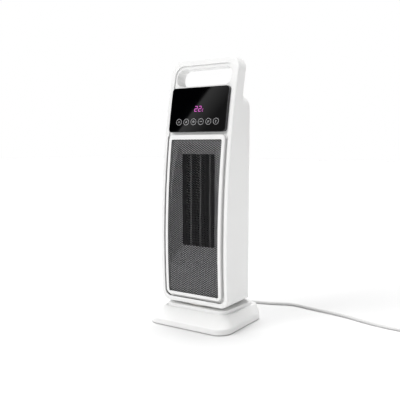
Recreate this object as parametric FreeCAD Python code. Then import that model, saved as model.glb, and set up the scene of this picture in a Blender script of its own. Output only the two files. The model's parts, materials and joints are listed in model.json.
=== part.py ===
import FreeCAD, Part

import math
import os

# Tower heater with a ceramic element, on a base that it swings on.
# Millimetres, +Z up, the front faces -Y, origin at the middle of the base on the floor.

# ------------------------------------------------------------------ driving dimensions
TOP = 500.0               # height of the handle's top
BOTTOM = 39.6             # underside of the tower
HALF = 74.5               # half the tower's width
WALL = 2.6                # wall of the white mouldings

BOW_RADIUS = 1370.0       # the whole front is one shallow bow, seen from the side
BOW_Z = 155.0             # height of its foremost line
BOW_Y = -49.0             # and how far forward that is
RIM_DEPTH = 2.5           # the outer rim lies this far behind the bow
SLAB_DEPTH = 31.0         # rear of the front slab that ends in the handle
CORNER_LOW = 18.0         # corners of the slab, seen from the front
CORNER_HIGH = 25.0

SIDE_END_Y = -1.5         # the flat sides end here, then the plan curves to the rear
SIDE_RADIUS = 250.0
SIDE_TURN = 8.0           # degrees that the side turns before the rear corner
REAR_RADIUS = 34.0
REAR_TURN = 80.0
HUMP_TOP = 431.0          # top of the rear housing, below the handle
HUMP_RADIUS = 22.0

MESH_HALF = 55.6          # visible part of the grille
MESH_LOW = 59.7
MESH_HIGH = 348.5
RING_HALF = 61.7          # ring round the grille
RING_LOW = 53.6
RING_HIGH = 357.5
GROOVE_HALF = 66.7        # outside of the shadow groove round the ring
GROOVE_LOW = 48.6
TRAY_HALF = 64.5          # tray behind the panel and round the handle opening
TRAY_HIGH = 487.6
TRAY_DEPTH = 5.0
PLATE = 3.0               # thickness of the tray plate
GRIP_HALF = 60.5          # handle opening
GRIP_LOW = 448.0
GRIP_HIGH = 481.0
GRIP_CORNER = 14.0
PANEL_HALF = 62.0
PANEL_LOW = 362.0
PANEL_HIGH = 445.0
PANEL_PROUD = 3.0         # the glass stands this far in front of the bow

BASE_HALF_X = 86.5
BASE_HALF_Y = 75.8
BASE_CORNER = 26.0
BASE_EDGE = 13.2          # top of the upright edge, halfway along the base
EDGE_RISE = 0.023         # the edge grows taller towards the rear
FOOT = 1.6                # gap under the base shell
CREST = 28.5              # the sloping top ends here, at the foot of the raised platform
CREST_HALF = (69.0, 80.0)      # half its width at the front and at the rear
CREST_ENDS = (-46.0, 71.0)
PLATFORM_TOP = 34.5
PLATFORM_HALF = (65.0, 72.0)
PLATFORM_ENDS = (-42.0, 65.0)

SWIVEL_Y = 8.0            # the tower turns about the upright line x = 0, y = SWIVEL_Y
SWIVEL_RADIUS = 20.0
RUNNING = 0.05            # radial clearance of shafts and bushes
MODULE = 1.0
GEAR_TEETH = 60
PINION_TEETH = 12
GEAR_Z = (24.0, 28.0)

ELEMENT_HALF = 36.0       # window of the heating element's frame
ELEMENT_LOW = 148.0
ELEMENT_HIGH = 321.5
ELEMENT_Y = -27.5         # front of that frame
ELEMENT_REAR = -4.5       # rear of that frame
ELEMENT_BORDER = 6.0      # the frame outside its window, above and below
CORE_Y = -20.5            # front of the ceramic core, set back in the frame
CORE_THICK = 15.0
CORE_BORDER = 2.0         # the core reaches this far behind the window's edges
BAR_PITCH = 21.3          # distance between the ceramic bars
FLANGE_DEPTH = 4.0        # the funnel's flange lies this far behind the bow
ROTOR_Y = 26.0
ROTOR_RADIUS = 27.0
ROTOR_LOW = 150.0
ROTOR_HIGH = 320.0
BLADES = 24
SCROLL_LOW = 141.0
SCROLL_HIGH = 329.0
SCROLL_HALF = 46.0
SCROLL_REAR = 55.0
MOTOR_LOW = 98.0

CORD_RADIUS = 3.0
CORD_EXIT = (0.0, 104.0, 7.0)
COIL_CENTRE = (393.0, 96.0)
COIL_INNER = 24.0
COIL_OUTER = 42.0
COIL_HEIGHT = 12.0

V = FreeCAD.Vector
UP = V(0, 0, 1)
FORWARD = V(0, -1, 0)
made = []


def save(name, shape):
    """Writes one sub-part, and says how many solids and how much volume it has."""
    if not shape.isValid():
        print("NOT VALID:", name)
    shape.exportStep(f"parts/{name}.step")
    made.append(name)
    print(f"{name:20s} solids {len(shape.Solids):3d}  volume {shape.Volume / 1000:8.2f} cm3")


def group(shapes):
    return Part.makeCompound(shapes)


def box(x0, x1, y0, y1, z0, z1):
    return Part.makeBox(x1 - x0, y1 - y0, z1 - z0, V(x0, y0, z0))


def rod(radius, low, height, direction=UP):
    return Part.makeCylinder(radius, height, V(*low), direction)


def ring(outer, inner, low, height, direction=UP):
    return rod(outer, low, height, direction).cut(rod(inner, low, height, direction))


def fuse(first, *others):
    return first.multiFuse(list(others)).removeSplitter()


def round_edges(shape, radius, wanted):
    """Rounds the edges for which wanted(edge) is true."""
    return shape.makeFillet(radius, [edge for edge in shape.Edges if wanted(edge)])


def runs_along(edge, axis):
    """True for a straight edge along a coordinate axis, 0, 1 or 2."""
    first, last = edge.Vertexes[0].Point, edge.Vertexes[-1].Point
    step = last - first
    return step.Length > 1e-6 and abs(abs(step[axis]) - step.Length) < 1e-6


# ------------------------------------------------------------------ shapes of the tower
def front_y(z, depth=0.0):
    """Y of the bow at height z, or of the surface that lies depth behind it."""
    radius = BOW_RADIUS - depth
    return BOW_Y + BOW_RADIUS - math.sqrt(radius**2 - (z - BOW_Z) ** 2)


def layer(near, far, z0=0.0, z1=560.0, half=120.0):
    """All that lies between two depths behind the bow."""
    def arc(depth):
        return [V(-half, front_y(z, depth), z) for z in (z0, (z0 + z1) / 2, z1)]

    a, b = arc(near), arc(far)
    wire = Part.Wire([
        Part.Arc(*a).toShape(),
        Part.makeLine(a[2], b[2]),
        Part.Arc(*b[::-1]).toShape(),
        Part.makeLine(b[0], a[0]),
    ])
    return Part.Face(wire).extrude(V(2 * half, 0, 0))


def upright(half, z0, z1, r_low, r_high, y0=-140.0, y1=140.0):
    """A block that runs along Y, with two corner radii as seen from the front."""
    block = box(-half, half, y0, y1, z0, z1)
    for z, radius in ((z0, r_low), (z1, r_high)):
        block = round_edges(
            block, radius, lambda e: runs_along(e, 1) and abs(e.Vertexes[0].Z - z) < 1e-6)
    return block


def plan_block(inset, z0, z1, top_round=0.0):
    """The tower's plan, a rounded D, as an upright block; inset makes it smaller all round."""
    def at(centre, radius, degrees):
        a = math.radians(degrees)
        return V(centre[0] + radius * math.cos(a), centre[1] + radius * math.sin(a), z0)

    side_centre = (HALF - SIDE_RADIUS, SIDE_END_Y)
    a = math.radians(SIDE_TURN)
    corner = (side_centre[0] + (SIDE_RADIUS - REAR_RADIUS) * math.cos(a),
              side_centre[1] + (SIDE_RADIUS - REAR_RADIUS) * math.sin(a))
    b = math.radians(REAR_TURN)
    back_radius = REAR_RADIUS + corner[0] / math.cos(b)
    back_centre = (0.0, corner[1] - (back_radius - REAR_RADIUS) * math.sin(b))
    middle = (SIDE_TURN + REAR_TURN) / 2
    side_r, corner_r, back_r = SIDE_RADIUS - inset, REAR_RADIUS - inset, back_radius - inset
    right = [
        Part.makeLine(V(HALF - inset, -140, z0), V(HALF - inset, SIDE_END_Y, z0)),
        Part.Arc(at(side_centre, side_r, 0), at(side_centre, side_r, SIDE_TURN / 2),
                 at(side_centre, side_r, SIDE_TURN)).toShape(),
        Part.Arc(at(corner, corner_r, SIDE_TURN), at(corner, corner_r, middle),
                 at(corner, corner_r, REAR_TURN)).toShape(),
    ]
    back = Part.Arc(at(back_centre, back_r, REAR_TURN), at(back_centre, back_r, 90),
                    at(back_centre, back_r, 180 - REAR_TURN)).toShape()
    left = [edge.mirror(V(0, 0, 0), V(1, 0, 0)) for edge in right]
    front = Part.makeLine(V(-HALF + inset, -140, z0), V(HALF - inset, -140, z0))
    wire = Part.Wire(Part.__sortEdges__([front, *right, back, *left]))
    block = Part.Face(wire).extrude(V(0, 0, z1 - z0))
    if top_round:
        block = round_edges(
            block, top_round,
            lambda e: min(v.Z for v in e.Vertexes) > z1 - 1e-6 and e.BoundBox.YMax > -139)
    return block


def rear_y():
    return plan_block(0.0, 0.0, 1.0).BoundBox.YMax


def on_surface(edge, depth, tolerance=0.02):
    """True if the whole edge lies at one depth behind the bow."""
    for t in (0.1, 0.5, 0.9):
        span = edge.LastParameter - edge.FirstParameter
        p = edge.valueAt(edge.FirstParameter + t * span)
        if abs(p.y - front_y(p.z, depth)) > tolerance:
            return False
    return True


def slab(inset, near, far, z0=0.0, z1=560.0):
    """The front slab's outline, made smaller by inset, between two depths."""
    outline = upright(HALF - inset, BOTTOM + inset, TOP - inset,
                      CORNER_LOW - inset, CORNER_HIGH - inset)
    return outline.common(plan_block(inset, 0, 560)).common(layer(near, far, z0, z1))


def grip_hole(grow=0.0):
    return upright(GRIP_HALF + grow, GRIP_LOW - grow, GRIP_HIGH + grow,
                   GRIP_CORNER + grow, GRIP_CORNER + grow)


def make_front_frame():
    """Outer rim and handle: a skin round the slab, open behind below the handle."""
    low = slab(0, RIM_DEPTH, SLAB_DEPTH, 0, HUMP_TOP - 4)
    high = slab(0, RIM_DEPTH, SLAB_DEPTH, HUMP_TOP - 4, 560)
    high = round_edges(high, 3.5, lambda e: on_surface(e, SLAB_DEPTH) and e.BoundBox.ZLength > 1
                       or on_surface(e, SLAB_DEPTH) and e.BoundBox.ZMin > 480)
    skin = low.fuse(high).removeSplitter()
    skin = round_edges(skin, 3.0, lambda e: on_surface(e, RIM_DEPTH))
    inside = slab(WALL, RIM_DEPTH + WALL, SLAB_DEPTH + 5, 0, HUMP_TOP - WALL)
    grip_inside = slab(WALL, RIM_DEPTH + WALL, SLAB_DEPTH - WALL, HUMP_TOP - 6, 560)
    skin = skin.cut(inside).cut(grip_inside)
    lower_pocket = upright(GROOVE_HALF, GROOVE_LOW, 361.0, 13.0, 10.0)
    upper_pocket = upright(TRAY_HALF, 340.0, TRAY_HIGH, 1.0, 18.0)
    pocket = fuse(lower_pocket, upper_pocket).common(layer(-5, RIM_DEPTH + WALL + 0.5))
    skin = skin.cut(pocket).cut(grip_hole().common(layer(20, 45, 430, 500)))
    outline = slab(WALL / 2, RIM_DEPTH + WALL, SLAB_DEPTH)
    for x, y, z in screw_axes():
        skin = skin.fuse(ring(4.5, 1.9, (x, y - 14.0, z), 14.5, V(0, 1, 0)).common(outline))
    return skin


def make_front_bezel():
    """Ring round the grille, the floor of the groove, the tray and the handle opening's lining."""
    gap = 0.1
    crown = upright(RING_HALF, RING_LOW, RING_HIGH, 10.0, 8.0).common(layer(0, 9.5))
    crown = round_edges(crown, 1.5, lambda e: on_surface(e, 0))
    floor = upright(GROOVE_HALF - gap, GROOVE_LOW + gap, 361.0 - gap, 12.9, 9.9).common(layer(8, 10))
    tray = upright(TRAY_HALF - gap, RING_HIGH - 8, TRAY_HIGH - gap, 1.0, 17.9)
    tray = tray.common(layer(TRAY_DEPTH, TRAY_DEPTH + PLATE + 0.5))
    lining = grip_hole(2.2).common(layer(TRAY_DEPTH, SLAB_DEPTH - WALL))
    whole = fuse(crown, floor, tray, lining).cut(grip_hole())
    whole = whole.cut(upright(MESH_HALF, MESH_LOW, MESH_HIGH, 3.0, 3.0).common(layer(-5, 20)))
    whole = whole.cut(upright(MESH_HALF + 2.2, MESH_LOW - 2.2, MESH_HIGH + 2.2, 4, 4)
                      .common(layer(1.0, 20)))
    return whole.cut(box(-20, 20, -140, 140, 385, 415))


def make_grille():
    """Curved metal sheet behind the ring, with staggered rows of holes."""
    sheet = upright(MESH_HALF + 2.0, MESH_LOW - 2.0, MESH_HIGH + 2.0, 3.5, 3.5).common(layer(1.1, 1.9))
    across, up, size = 9.0, 9.0, 6.6
    holes = []
    rows = int((MESH_HIGH - MESH_LOW) // up)
    for row in range(rows):
        z = MESH_LOW + (row + 0.5) * (MESH_HIGH - MESH_LOW) / rows
        shift = across / 4 if row % 2 else -across / 4
        for column in range(-5, 6):
            x = column * across + shift
            holes.append(box(x - size / 2, x + size / 2, -90, 60, z - size / 2, z + size / 2))
    return sheet.cut(group(holes))


def make_rear_housing():
    """Rear shell with floor, domed top, intake slots, hub hole and switch hole."""
    def form(inset):
        block = plan_block(inset, BOTTOM + inset, HUMP_TOP - inset, HUMP_RADIUS - inset)
        return block.common(upright(HALF - inset, BOTTOM + inset, 460, CORNER_LOW - inset, 1.0))

    shell = form(0).common(layer(SLAB_DEPTH, 400)).cut(form(WALL))
    for x, z in BOARD_POSTS:
        post = rod(3.0, (x, CONTROL_BOARD_Y + 1.6, z), 60, V(0, 1, 0)).common(form(WALL / 2))
        shell = shell.fuse(post)
    for x, y, z in screw_axes():
        shell = shell.fuse(ring(4.5, 2.1, (x, y, z), 5.0, V(0, 1, 0)).common(form(WALL / 2)))
    rows = int((ELEMENT_HIGH - ELEMENT_LOW) // SLOT_PITCH)
    slots = [box(-42, 42, 40, 90, ELEMENT_LOW + row * SLOT_PITCH, ELEMENT_LOW + row * SLOT_PITCH + 3.6)
             for row in range(rows)]
    spine = box(-1.6, 1.6, 40, 90, 110, 340)
    shell = shell.cut(group(slots).cut(spine))
    shell = shell.cut(rod(12.0, (0, SWIVEL_Y, BOTTOM - 5), 20))
    for degrees in (90, 210, 330):
        x, y = polar(0, SWIVEL_Y, 30.0, degrees)
        shell = shell.cut(rod(1.7, (x, y, BOTTOM - 5), 20))
    return shell.cut(box(-6.5, 6.5, 40, 90, SWITCH_Z - 9.5, SWITCH_Z + 9.5))


SLOT_PITCH = 8.0
CONTROL_BOARD_Y = 24.0
BOARD_POSTS = [(x, z) for x in (-43.0, 43.0) for z in (346.0, 402.0)]


def screw_axes():
    """Places of the screws that hold the rear housing to the front frame, at the seam."""
    return [(side * 67.6, front_y(z, SLAB_DEPTH), z) for side in (-1, 1) for z in (90.0, 230.0, 370.0)]


def polar(x, y, radius, degrees):
    a = math.radians(degrees)
    return x + radius * math.cos(a), y + radius * math.sin(a)


# ------------------------------------------------------------------ control panel
GLASS_REAR = 1.8 - PANEL_PROUD


def make_panel_housing():
    body = upright(PANEL_HALF, PANEL_LOW, PANEL_HIGH, 6, 6).common(layer(GLASS_REAR, TRAY_DEPTH))
    hollow = upright(PANEL_HALF - 2.2, PANEL_LOW + 2.2, PANEL_HIGH - 2.2, 4, 4)
    return body.cut(hollow.common(layer(-10, 20)))


def make_panel_glass():
    glass = upright(PANEL_HALF, PANEL_LOW, PANEL_HIGH, 6, 6)
    glass = glass.common(layer(-PANEL_PROUD, GLASS_REAR))
    return round_edges(glass, 1.2, lambda e: on_surface(e, -PANEL_PROUD))


ICON_PITCH = 16.3
ICON_Z = 381.0


def make_touch_springs():
    """One contact column under each touch key."""
    springs = []
    for index in range(6):
        x = (index - 2.5) * ICON_PITCH
        y = front_y(ICON_Z, -0.4)
        springs.append(ring(4.0, 3.0, (x, y, ICON_Z), 2.2, V(0, 1, 0)))
    return group(springs)


# ------------------------------------------------------------------ heating element and fan
TAB_Y = -14.0
TAB_HEIGHT = 8.5


def make_funnel():
    """Four sloping walls from the element's window forward, and a flange behind the grille."""
    def pyramid(grow):
        loops = []
        for half, low, high, y in ((ELEMENT_HALF, ELEMENT_LOW, ELEMENT_HIGH, ELEMENT_Y),
                                   (71.0, 74.0, 462.0, -61.0)):
            half, low, high = half + grow, low - 1.5 * grow, high + 1.5 * grow
            corners = [V(-half, y, low), V(half, y, low), V(half, y, high), V(-half, y, high)]
            loops.append(Part.makePolygon(corners + corners[:1]))
        return Part.makeLoft(loops, True, True)

    mouth = pyramid(0)
    walls = pyramid(1.6).cut(mouth)
    window = upright(MESH_HALF + 1.6, MESH_LOW - 1.6, MESH_HIGH + 1.6, 4, 4)
    flange = window.common(layer(FLANGE_DEPTH, FLANGE_DEPTH + 1.6)).cut(mouth)
    hollow_front = box(-90, 90, -90, ELEMENT_Y, 30, 400).common(layer(FLANGE_DEPTH, 60))
    return fuse(flange, walls.common(hollow_front).common(window))


def make_element():
    """Frame, fin packs, ceramic bars and terminals of the heating element."""
    edge = ELEMENT_BORDER
    core_low, core_high = ELEMENT_LOW - CORE_BORDER, ELEMENT_HIGH + CORE_BORDER
    core_half = 2 * BAR_PITCH
    y0, y1 = CORE_Y, CORE_Y + CORE_THICK
    frame = box(-SCROLL_HALF, SCROLL_HALF, ELEMENT_Y, ELEMENT_REAR,
                ELEMENT_LOW - edge, ELEMENT_HIGH + edge)
    frame = frame.cut(box(-ELEMENT_HALF, ELEMENT_HALF, -60, 0, ELEMENT_LOW, ELEMENT_HIGH))
    frame = frame.cut(box(-core_half, core_half, y0, 0, core_low, core_high))
    bar_half = 1.6
    bars, fins = [], []
    for index in (-1, 0, 1):
        x = index * BAR_PITCH
        bars.append(box(x - bar_half, x + bar_half, y0, y1, core_low, core_high))
    for index in range(-2, 2):
        x0 = index * BAR_PITCH + (bar_half if index > -2 else 0.0)
        x1 = (index + 1) * BAR_PITCH - (bar_half if index < 1 else 0.0)
        pack = [box(x0, x0 + 0.8, y0, y1, core_low, core_high)]
        pack.append(box(x1 - 0.8, x1, y0, y1, core_low, core_high))
        count = 36
        for step in range(count):
            z = core_low + (step + 0.5) * (core_high - core_low) / count
            pack.append(box(x0 + 0.8, x1 - 0.8, y0, y1, z - 0.4, z + 0.4))
        fins.append(fuse(*pack))
    top = ELEMENT_HIGH + edge
    tabs = [box(x - 3.2, x + 3.2, TAB_Y - 0.4, TAB_Y + 0.4, top, top + TAB_HEIGHT)
            for x in (-BAR_PITCH, 0.0, BAR_PITCH)]
    return frame, group(fins), group(bars), group(tabs)


def make_rotor():
    """Crossflow wheel: four discs and a ring of curved blades."""
    discs = []
    count = 4
    for index in range(count):
        z = ROTOR_LOW + index * (ROTOR_HIGH - ROTOR_LOW - 2.0) / (count - 1)
        inner = 4.0 if index in (0, count - 1) else ROTOR_RADIUS - 8.5
        discs.append(ring(ROTOR_RADIUS, inner, (0, ROTOR_Y, z), 2.0))
    blades = []
    outer_r, inner_r, thick, sweep = ROTOR_RADIUS - 0.5, ROTOR_RADIUS - 7.5, 0.9, 16.0
    for index in range(BLADES):
        start = index * 360.0 / BLADES

        def point(radius, degrees):
            return V(*polar(0, ROTOR_Y, radius, degrees), ROTOR_LOW + 1)

        turn = math.degrees(thick / outer_r)
        middle_r = (outer_r + inner_r) / 2 - 0.8
        near = Part.Arc(point(outer_r, start), point(middle_r, start + sweep * 0.3),
                        point(inner_r, start + sweep)).toShape()
        far = Part.Arc(point(inner_r, start + sweep + turn), point(middle_r, start + sweep * 0.3 + turn),
                       point(outer_r, start + turn)).toShape()
        wire = Part.Wire([
            near,
            Part.makeLine(point(inner_r, start + sweep), point(inner_r, start + sweep + turn)),
            far,
            Part.makeLine(point(outer_r, start + turn), point(outer_r, start)),
        ])
        blades.append(Part.Face(wire).extrude(V(0, 0, ROTOR_HIGH - ROTOR_LOW - 2)))
    return discs[0].multiFuse(discs[1:] + blades)


def make_scroll():
    """Air duct: a volute on the left, a tongue on the right, and two end plates."""
    def point(x, y):
        return V(x, y, SCROLL_LOW)

    def sheet(points, inner_points):
        wire = Part.Wire([
            Part.Arc(*points).toShape(),
            Part.makeLine(points[2], inner_points[2]),
            Part.Arc(*inner_points[::-1]).toShape(),
            Part.makeLine(inner_points[0], points[0]),
        ])
        return Part.Face(wire).extrude(V(0, 0, SCROLL_HIGH - SCROLL_LOW))

    front = ELEMENT_REAR
    volute = sheet([point(-SCROLL_HALF, front), point(-44.5, 28.0), point(-28.0, SCROLL_REAR)],
                   [point(1.5 - SCROLL_HALF, front), point(-43.0, 27.5), point(-27.0, SCROLL_REAR - 1)])
    tongue = sheet([point(SCROLL_HALF, front), point(41.0, 7.0), point(33.0, 16.0)],
                   [point(SCROLL_HALF - 1.5, front), point(39.8, 6.0), point(32.0, 14.9)])
    plates = []
    for z in (SCROLL_LOW, SCROLL_HIGH - 2):
        plate = box(-SCROLL_HALF, SCROLL_HALF, front, SCROLL_REAR, z, z + 2)
        plates.append(plate.cut(rod(10.0, (0, ROTOR_Y, z - 1), 4)))
    return fuse(volute, tongue, *plates)


# ------------------------------------------------------------------ base and swivel
def tapered_block(halves, ends, radius, z0, z1):
    """Upright block, wider at the rear than at the front or as wide, with rounded corners."""
    (front, rear), (y0, y1) = halves, ends
    corners = [V(-front, y0, z0), V(front, y0, z0), V(rear, y1, z0), V(-rear, y1, z0)]
    block = Part.Face(Part.makePolygon(corners + corners[:1])).extrude(V(0, 0, z1 - z0))
    return round_edges(block, radius, lambda e: runs_along(e, 2))


def outline_at(halves, ends, radius, z):
    """The outline of such a block as a wire at one height."""
    block = tapered_block(halves, ends, radius, z, z + 5)
    return [f for f in block.Faces if abs(f.CenterOfMass.z - z) < 1e-6][0].OuterWire


def slope_block(inset, low, edge, crest):
    """Wall that grows taller to the rear, and a top that slopes in from it to the crest."""
    half, end, corner = BASE_HALF_X - inset, BASE_HALF_Y - inset, BASE_CORNER - inset
    foot = outline_at((half, half), (-end, end), corner, low)
    rim = outline_at((half, half), (-end, end), corner, 0.0)
    rim.rotate(V(0, 0, 0), V(1, 0, 0), math.degrees(math.atan(EDGE_RISE)))
    rim.translate(V(0, 0, edge))
    top = outline_at([h - inset for h in CREST_HALF],
                     (CREST_ENDS[0] + inset, CREST_ENDS[1] - inset), 16.0 - inset, crest)
    wall = Part.makeLoft([foot, rim], True, True)
    return wall.fuse(Part.makeLoft([rim, top], True, True))


def platform_block(inset, z0, z1):
    return tapered_block([h - inset for h in PLATFORM_HALF],
                         (PLATFORM_ENDS[0] + inset, PLATFORM_ENDS[1] - inset), 14.0 - inset, z0, z1)


def on_rim(edge):
    """True for an edge along the top of the base's wall."""
    return all(abs(v.Z - BASE_EDGE - EDGE_RISE * v.Y) < 0.05 for v in edge.Vertexes) \
        and edge.BoundBox.ZLength < 4


BUSH_OUTER = SWIVEL_RADIUS + 3.0


def make_base_shell():
    outer = slope_block(0, FOOT, BASE_EDGE, CREST)
    outer = round_edges(outer, 3.0, on_rim)
    step = platform_block(0, BASE_EDGE + 4, PLATFORM_TOP)
    step = round_edges(step, 2.0, lambda e: abs(e.BoundBox.ZMin - PLATFORM_TOP) < 1e-3)
    outer = fuse(outer, step)
    inner = slope_block(WALL, FOOT - 1, BASE_EDGE - 1.5, CREST - 2.6)
    inner = fuse(inner, platform_block(WALL, BASE_EDGE, PLATFORM_TOP - WALL))
    shell = outer.cut(inner).cut(rod(BUSH_OUTER, (0, SWIVEL_Y, 20), 30))
    return shell.cut(rod(4.5, (0, BASE_HALF_Y + 5, 8.0), 12, FORWARD))


def make_base_plate():
    plate = box(-BASE_HALF_X + WALL + 0.2, BASE_HALF_X - WALL - 0.2,
                -BASE_HALF_Y + WALL + 0.2, BASE_HALF_Y - WALL - 0.2, 2.2, 4.5)
    plate = round_edges(plate, BASE_CORNER - WALL - 0.2, lambda e: runs_along(e, 2))
    for x, y in foot_places():
        plate = plate.cut(rod(7.0, (x, y, 0), 3.4))
    for x, y in screw_places():
        plate = plate.cut(rod(1.8, (x, y, 0), 8))
    return plate.cut(rod(PLUNGER_RADIUS + 0.1, (TIP_X, TIP_Y, 0), 8))


def foot_places():
    return [(sx * (BASE_HALF_X - 22), sy * (BASE_HALF_Y - 20)) for sx in (-1, 1) for sy in (-1, 1)]


def screw_places():
    return [(sx * 42.0, sy * 60.0) for sx in (-1, 1) for sy in (-1, 1)]


def involute_gear(teeth, centre, bore, phase):
    """Spur gear with involute flanks at 20 degrees, its teeth a little thin for free running."""
    pitch = MODULE * teeth / 2
    base = pitch * math.cos(math.radians(20))
    tip = pitch + 0.85 * MODULE
    root = pitch - 1.15 * MODULE
    quarter = math.degrees(math.pi / 2 - 0.16) / teeth

    def involute(radius):
        ratio = max(radius / base, 1.0)
        return math.degrees(math.sqrt(ratio**2 - 1) - math.acos(1 / ratio))

    start = max(base, root)
    flank = [(root, quarter + involute(pitch))]
    for step in range(4):
        radius = start + (tip - start) * step / 3
        flank.append((radius, quarter + involute(pitch) - involute(radius)))
    points = []
    for tooth in range(teeth):
        middle = phase + tooth * 360.0 / teeth
        points += [V(*polar(*centre, r, middle - a), GEAR_Z[0]) for r, a in flank]
        points += [V(*polar(*centre, r, middle + a), GEAR_Z[0]) for r, a in flank[::-1]]
    wheel = Part.Face(Part.makePolygon(points + points[:1])).extrude(V(0, 0, GEAR_Z[1] - GEAR_Z[0]))
    return wheel.cut(rod(bore, (centre[0], centre[1], GEAR_Z[0] - 1), 10))


CENTRE_DISTANCE = MODULE * (GEAR_TEETH + PINION_TEETH) / 2
DRIVE = (CENTRE_DISTANCE, SWIVEL_Y)
SHAFT = 3.0
HUB_DISC = 42.0


def make_hub():
    """Disc under the tower with a hollow spigot that turns in the bush."""
    disc = rod(HUB_DISC, (0, SWIVEL_Y, 36.0), BOTTOM - 36.0)
    spigot = rod(SWIVEL_RADIUS, (0, SWIVEL_Y, GEAR_Z[1]), 36.0 - GEAR_Z[1])
    hub = fuse(disc, spigot).cut(rod(12.0, (0, SWIVEL_Y, 0), 60))
    for degrees in (90, 210, 330):
        x, y = polar(0, SWIVEL_Y, 30.0, degrees)
        hub = hub.cut(rod(1.3, (x, y, 30), 20))
    return hub


def make_bush():
    flange = ring(33.0, SWIVEL_RADIUS + RUNNING, (0, SWIVEL_Y, PLATFORM_TOP), 1.1)
    sleeve = ring(BUSH_OUTER, SWIVEL_RADIUS + RUNNING, (0, SWIVEL_Y, 29.5), PLATFORM_TOP - 29.5)
    return fuse(flange, sleeve)


# ------------------------------------------------------------------ tip-over cut-out
TIP_X = -48.0
TIP_Y = -28.0
PLUNGER_RADIUS = 5.0
TIP_CEILING = 16.0


def make_plunger():
    stem = rod(PLUNGER_RADIUS, (TIP_X, TIP_Y, 0.0), 8.2)
    flange = rod(PLUNGER_RADIUS + 1.5, (TIP_X, TIP_Y, 8.2), 1.6)
    pin = rod(1.8, (TIP_X, TIP_Y, 9.8), 8.0)
    return fuse(stem, flange, pin)


def make_tip_switch():
    """Bridge over the plunger, with the micro switch on top of it."""
    bridge = box(TIP_X - 12, TIP_X + 12, TIP_Y - 8, TIP_Y + 8, 4.5, TIP_CEILING + 2)
    bridge = bridge.cut(box(TIP_X - 9, TIP_X + 9, TIP_Y - 9, TIP_Y + 9, 4.5, TIP_CEILING))
    bridge = bridge.cut(rod(2.1, (TIP_X, TIP_Y, TIP_CEILING - 1), 5))
    switch = box(TIP_X - 10, TIP_X + 10, TIP_Y + 2.2, TIP_Y + 8, TIP_CEILING + 2, 27.0)
    return fuse(bridge, switch)


def make_tip_spring():
    radius, wire, pitch, turns = 3.2, 0.4, 1.5, 3.5
    low = 10.3
    helix = Part.makeHelix(pitch, pitch * turns, radius)
    section = Part.Wire(Part.makeCircle(wire, V(radius, 0, 0), V(0, 1, 0)))
    spring = Part.Wire(helix.Edges).makePipeShell([section], True, True)
    spring.translate(V(TIP_X, TIP_Y, low))
    return spring


# ------------------------------------------------------------------ mains switch
SWITCH_Z = 78.0


def make_switch_body():
    """Rocker switch in the rear wall: flange outside, box inside, open pocket for the rocker."""
    rear = rear_y()
    body = box(-6.4, 6.4, rear - 16, rear - 0.5, SWITCH_Z - 9.4, SWITCH_Z + 9.4)
    flange = box(-8.5, 8.5, rear + 0.1, rear + 1.8, SWITCH_Z - 11.5, SWITCH_Z + 11.5)
    neck = box(-6.4, 6.4, rear - 0.5, rear + 0.1, SWITCH_Z - 9.4, SWITCH_Z + 9.4)
    pocket = box(-5.0, 5.0, rear - 9, rear + 5, SWITCH_Z - 8.6, SWITCH_Z + 8.6)
    body = fuse(body, neck, flange).cut(pocket)
    return body.cut(rod(1.05, (-6.0, rear - 2.0, SWITCH_Z), 12.0, V(1, 0, 0)))


def make_switch_rocker():
    """Rocker on its own pins, resting with its upper half pressed in."""
    rear = rear_y()
    pivot = V(0, rear - 2.0, SWITCH_Z)
    profile = [(-3.0, -3.0), (-3.0, 3.0), (2.0, 7.4), (4.8, 7.4), (3.2, 0.0), (4.8, -7.4), (2.0, -7.4)]
    points = [V(-4.7, pivot.y + y, SWITCH_Z + z) for y, z in profile]
    body = Part.Face(Part.makePolygon(points + points[:1])).extrude(V(9.4, 0, 0))
    pins = rod(1.0, (-5.9, pivot.y, SWITCH_Z), 11.8, V(1, 0, 0))
    rocker = fuse(body, pins)
    rocker.rotate(pivot, V(1, 0, 0), 9.0)
    return rocker


# ------------------------------------------------------------------ leads and cord
def tube(points, radius, name=""):
    """Round lead: straight runs joined by tangent arcs of 0.45 of the shorter run."""
    places = [V(*p) for p in points]
    edges, radii, here = [], [], places[0]
    for before, corner, after in zip(places, places[1:], places[2:]):
        into, out = corner - before, after - corner
        shorter = min(into.Length, out.Length)
        into.normalize()
        out.normalize()
        half_turn = into.getAngle(out) / 2
        reach = 0.45 * shorter
        start, end = corner - into * reach, corner + out * reach
        arc_radius = reach / math.tan(half_turn)
        centre_way = (out - into).normalize()
        middle = corner + centre_way * (arc_radius / math.cos(half_turn) - arc_radius)
        edges.append(Part.makeLine(here, start))
        edges.append(Part.Arc(start, middle, end).toShape())
        radii.append(arc_radius)
        here = end
    edges.append(Part.makeLine(here, places[-1]))
    path = Part.Wire(edges)
    first = places[1] - places[0]
    section = Part.Wire(Part.makeCircle(radius, places[0], first))
    solid = path.makePipeShell([section], True, True)
    if name:
        share = solid.Volume / (math.pi * radius**2 * path.Length)
        print(name, "length", round(path.Length, 1), "radii", [round(r) for r in radii],
              "volume share", round(share, 4))
    return solid


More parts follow.
